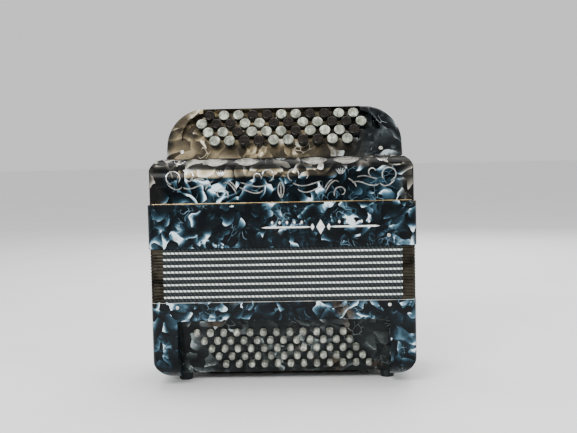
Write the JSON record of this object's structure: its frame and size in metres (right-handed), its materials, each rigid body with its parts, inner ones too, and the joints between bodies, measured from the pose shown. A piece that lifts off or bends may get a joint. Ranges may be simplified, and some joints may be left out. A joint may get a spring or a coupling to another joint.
{
  "type": "chromatic button accordion",
  "caption": "Chromatic button accordion with stepped treble board, folding bellows, grille cover and slanted bass board, standing closed on its bass feet.",
  "frame": {"origin": "on the ground under the feet, midway between the two ends and between the front pins and the strap eyelets", "axes": "+X along the length of the instrument towards the player's chin, -Y towards the listener, +Z from the bass end to the treble end"},
  "size_m": [0.346, 0.1824, 0.3665],
  "materials": {
    "pearloid": "polished marbled celluloid veneer on wood",
    "fingerboard_pearloid": "polished marbled celluloid veneer on wood",
    "bellows_cloth": "cloth tape over folded card with metal corners",
    "pearl_button": "polished pearl plastic caps, some black",
    "bass_pearl": "polished pearl plastic",
    "bare_wood": "sanded spruce and maple",
    "reed_metal": "brushed reed plates",
    "bright_steel": "polished nickel-plated steel",
    "silver_trim": "bright plated trim",
    "mesh": "fine woven metal mesh",
    "rubber_foot": "dull black rubber",
    "strap_leather": "black grained leather",
    "lever_metal": "stamped aluminium levers with felt-faced pallets",
    "black_plastic": "satin black plastic"
  },
  "bodies": {
    "bass_case": {"bass_casing": "pearloid", "bass_button_board": "pearloid", "bass_plunger_guide": "bare_wood", "bass_end_cover": "pearloid", "bass_cover_screws": "bright_steel", "bass_feet": "rubber_foot", "bass_strap": "strap_leather", "bass_strap_brackets": "bright_steel", "bass_soundboard": "bare_wood", "bass_reed_blocks": "bare_wood", "bass_reed_plates": "reed_metal", "bellows_frame_bass": "bare_wood", "bellows_pins_bass": "bright_steel", "strap_eyelet_bass": "bright_steel"},
    "fold_01": {"bellows_fold_01": "bellows_cloth"},
    "fold_02": {"bellows_fold_02": "bellows_cloth"},
    "fold_03": {"bellows_fold_03": "bellows_cloth"},
    "fold_04": {"bellows_fold_04": "bellows_cloth"},
    "fold_05": {"bellows_fold_05": "bellows_cloth"},
    "fold_06": {"bellows_fold_06": "bellows_cloth"},
    "fold_07": {"bellows_fold_07": "bellows_cloth"},
    "fold_08": {"bellows_fold_08": "bellows_cloth"},
    "fold_09": {"bellows_fold_09": "bellows_cloth"},
    "fold_10": {"bellows_fold_10": "bellows_cloth"},
    "fold_11": {"bellows_fold_11": "bellows_cloth"},
    "fold_12": {"bellows_fold_12": "bellows_cloth"},
    "fold_13": {"bellows_fold_13": "bellows_cloth"},
    "fold_14": {"bellows_fold_14": "bellows_cloth"},
    "fold_15": {"bellows_fold_15": "bellows_cloth"},
    "fold_16": {"bellows_fold_16": "bellows_cloth"},
    "fold_17": {"bellows_fold_17": "bellows_cloth"},
    "treble_case": {"treble_casing": "pearloid", "grille_cover": "pearloid", "grille_mesh": "mesh", "grille_scrollwork": "silver_trim", "fingerboard": "fingerboard_pearloid", "treble_screws": "bright_steel", "treble_soundboard": "bare_wood", "treble_reed_blocks": "bare_wood", "treble_reed_plates": "reed_metal", "lever_axle": "bright_steel", "strap_eyelets_treble": "bright_steel", "bellows_frame_treble": "bare_wood", "bellows_pins_treble": "bright_steel"},
    "treble_row_4": {"treble_buttons_row_4": "pearl_button"},
    "lever_row_4": {"treble_levers_row_4": "lever_metal"},
    "treble_row_3": {"treble_buttons_row_3": "pearl_button"},
    "lever_row_3": {"treble_levers_row_3": "lever_metal"},
    "treble_row_2": {"treble_buttons_row_2": "pearl_button"},
    "lever_row_2": {"treble_levers_row_2": "lever_metal"},
    "treble_row_1": {"treble_buttons_row_1": "pearl_button"},
    "lever_row_1": {"treble_levers_row_1": "lever_metal"},
    "bass_row_1": {"bass_buttons_row_1": "bass_pearl"},
    "bass_row_2": {"bass_buttons_row_2": "bass_pearl"},
    "bass_row_3": {"bass_buttons_row_3": "bass_pearl"},
    "bass_row_4": {"bass_buttons_row_4": "bass_pearl"},
    "bass_row_5": {"bass_buttons_row_5": "bass_pearl"},
    "air_button": {"air_button": "black_plastic"},
    "air_valve": {"air_valve": "lever_metal"},
    "strap_wheel": {"strap_adjuster_wheel": "black_plastic"}
  },
  "joints": [
    {"name": "bellows_gap_01", "type": "slide", "parent": "bass_case", "child": "fold_01", "axis": [0, 0, 1], "range_m": [0, 0.017]},
    {"name": "bellows_gap_02", "type": "slide", "parent": "fold_01", "child": "fold_02", "axis": [0, 0, 1], "range_m": [0, 0.017]},
    {"name": "bellows_gap_03", "type": "slide", "parent": "fold_02", "child": "fold_03", "axis": [0, 0, 1], "range_m": [0, 0.017]},
    {"name": "bellows_gap_04", "type": "slide", "parent": "fold_03", "child": "fold_04", "axis": [0, 0, 1], "range_m": [0, 0.017]},
    {"name": "bellows_gap_05", "type": "slide", "parent": "fold_04", "child": "fold_05", "axis": [0, 0, 1], "range_m": [0, 0.017]},
    {"name": "bellows_gap_06", "type": "slide", "parent": "fold_05", "child": "fold_06", "axis": [0, 0, 1], "range_m": [0, 0.017]},
    {"name": "bellows_gap_07", "type": "slide", "parent": "fold_06", "child": "fold_07", "axis": [0, 0, 1], "range_m": [0, 0.017]},
    {"name": "bellows_gap_08", "type": "slide", "parent": "fold_07", "child": "fold_08", "axis": [0, 0, 1], "range_m": [0, 0.017]},
    {"name": "bellows_gap_09", "type": "slide", "parent": "fold_08", "child": "fold_09", "axis": [0, 0, 1], "range_m": [0, 0.017]},
    {"name": "bellows_gap_10", "type": "slide", "parent": "fold_09", "child": "fold_10", "axis": [0, 0, 1], "range_m": [0, 0.017]},
    {"name": "bellows_gap_11", "type": "slide", "parent": "fold_10", "child": "fold_11", "axis": [0, 0, 1], "range_m": [0, 0.017]},
    {"name": "bellows_gap_12", "type": "slide", "parent": "fold_11", "child": "fold_12", "axis": [0, 0, 1], "range_m": [0, 0.017]},
    {"name": "bellows_gap_13", "type": "slide", "parent": "fold_12", "child": "fold_13", "axis": [0, 0, 1], "range_m": [0, 0.017]},
    {"name": "bellows_gap_14", "type": "slide", "parent": "fold_13", "child": "fold_14", "axis": [0, 0, 1], "range_m": [0, 0.017]},
    {"name": "bellows_gap_15", "type": "slide", "parent": "fold_14", "child": "fold_15", "axis": [0, 0, 1], "range_m": [0, 0.017]},
    {"name": "bellows_gap_16", "type": "slide", "parent": "fold_15", "child": "fold_16", "axis": [0, 0, 1], "range_m": [0, 0.017]},
    {"name": "bellows_gap_17", "type": "slide", "parent": "fold_16", "child": "fold_17", "axis": [0, 0, 1], "range_m": [0, 0.017]},
    {"name": "bellows_gap_18", "type": "slide", "parent": "fold_17", "child": "treble_case", "axis": [0, 0, 1], "range_m": [0, 0.017]},
    {"name": "treble_row_4_press", "type": "slide", "parent": "treble_case", "child": "treble_row_4", "axis": [0, 0.866, -0.5], "range_m": [0, 0.004], "stiffness_N_per_m": 800, "springref_m": -0.001},
    {"name": "lever_row_4_rock", "type": "hinge", "parent": "treble_case", "child": "lever_row_4", "pos_m": [0, -0.043, 0.2676], "axis": [-1, 0, 0], "range_deg": [0, 5.45]},
    {"name": "treble_row_3_press", "type": "slide", "parent": "treble_case", "child": "treble_row_3", "axis": [0, 0.866, -0.5], "range_m": [0, 0.004], "stiffness_N_per_m": 800, "springref_m": -0.001},
    {"name": "lever_row_3_rock", "type": "hinge", "parent": "treble_case", "child": "lever_row_3", "pos_m": [0, -0.043, 0.2676], "axis": [-1, 0, 0], "range_deg": [0, 4.11]},
    {"name": "treble_row_2_press", "type": "slide", "parent": "treble_case", "child": "treble_row_2", "axis": [0, 0.866, -0.5], "range_m": [0, 0.004], "stiffness_N_per_m": 800, "springref_m": -0.001},
    {"name": "lever_row_2_rock", "type": "hinge", "parent": "treble_case", "child": "lever_row_2", "pos_m": [0, -0.043, 0.2676], "axis": [-1, 0, 0], "range_deg": [0, 3.32]},
    {"name": "treble_row_1_press", "type": "slide", "parent": "treble_case", "child": "treble_row_1", "axis": [0, 0.866, -0.5], "range_m": [0, 0.004], "stiffness_N_per_m": 800, "springref_m": -0.001},
    {"name": "lever_row_1_rock", "type": "hinge", "parent": "treble_case", "child": "lever_row_1", "pos_m": [0, -0.043, 0.2676], "axis": [-1, 0, 0], "range_deg": [0, 2.8]},
    {"name": "bass_row_1_press", "type": "slide", "parent": "bass_case", "child": "bass_row_1", "axis": [0, 0.866, 0.5], "range_m": [0, 0.005], "stiffness_N_per_m": 800, "springref_m": -0.001},
    {"name": "bass_row_2_press", "type": "slide", "parent": "bass_case", "child": "bass_row_2", "axis": [0, 0.866, 0.5], "range_m": [0, 0.005], "stiffness_N_per_m": 800, "springref_m": -0.001},
    {"name": "bass_row_3_press", "type": "slide", "parent": "bass_case", "child": "bass_row_3", "axis": [0, 0.866, 0.5], "range_m": [0, 0.005], "stiffness_N_per_m": 800, "springref_m": -0.001},
    {"name": "bass_row_4_press", "type": "slide", "parent": "bass_case", "child": "bass_row_4", "axis": [0, 0.866, 0.5], "range_m": [0, 0.005], "stiffness_N_per_m": 800, "springref_m": -0.001},
    {"name": "bass_row_5_press", "type": "slide", "parent": "bass_case", "child": "bass_row_5", "axis": [0, 0.866, 0.5], "range_m": [0, 0.005], "stiffness_N_per_m": 800, "springref_m": -0.001},
    {"name": "air_button_press", "type": "slide", "parent": "bass_case", "child": "air_button", "axis": [0, 0, 1], "range_m": [0, 0.005], "stiffness_N_per_m": 500, "springref_m": -0.001},
    {"name": "air_valve_rock", "type": "hinge", "parent": "bass_case", "child": "air_valve", "pos_m": [0.105, 0, 0.074], "axis": [-1, 0, 0], "range_deg": [0, 18]},
    {"name": "strap_wheel_turn", "type": "hinge", "parent": "bass_case", "child": "strap_wheel", "pos_m": [0.163, 0.02, 0.058], "axis": [0, 1, 0], "continuous": true}
  ],
  "couplings": [
    {"joint": "bellows_gap_02", "follows": "bellows_gap_01", "ratio": 1},
    {"joint": "bellows_gap_03", "follows": "bellows_gap_01", "ratio": 1},
    {"joint": "bellows_gap_04", "follows": "bellows_gap_01", "ratio": 1},
    {"joint": "bellows_gap_05", "follows": "bellows_gap_01", "ratio": 1},
    {"joint": "bellows_gap_06", "follows": "bellows_gap_01", "ratio": 1},
    {"joint": "bellows_gap_07", "follows": "bellows_gap_01", "ratio": 1},
    {"joint": "bellows_gap_08", "follows": "bellows_gap_01", "ratio": 1},
    {"joint": "bellows_gap_09", "follows": "bellows_gap_01", "ratio": 1},
    {"joint": "bellows_gap_10", "follows": "bellows_gap_01", "ratio": 1},
    {"joint": "bellows_gap_11", "follows": "bellows_gap_01", "ratio": 1},
    {"joint": "bellows_gap_12", "follows": "bellows_gap_01", "ratio": 1},
    {"joint": "bellows_gap_13", "follows": "bellows_gap_01", "ratio": 1},
    {"joint": "bellows_gap_14", "follows": "bellows_gap_01", "ratio": 1},
    {"joint": "bellows_gap_15", "follows": "bellows_gap_01", "ratio": 1},
    {"joint": "bellows_gap_16", "follows": "bellows_gap_01", "ratio": 1},
    {"joint": "bellows_gap_17", "follows": "bellows_gap_01", "ratio": 1},
    {"joint": "bellows_gap_18", "follows": "bellows_gap_01", "ratio": 1},
    {"joint": "lever_row_4_rock", "follows": "treble_row_4_press", "rad_per_m": 22.49},
    {"joint": "lever_row_3_rock", "follows": "treble_row_3_press", "rad_per_m": 16.613},
    {"joint": "lever_row_2_rock", "follows": "treble_row_2_press", "rad_per_m": 13.172},
    {"joint": "lever_row_1_rock", "follows": "treble_row_1_press", "rad_per_m": 10.911},
    {"joint": "air_valve_rock", "follows": "air_button_press", "rad_per_m": 58.8}
  ]
}
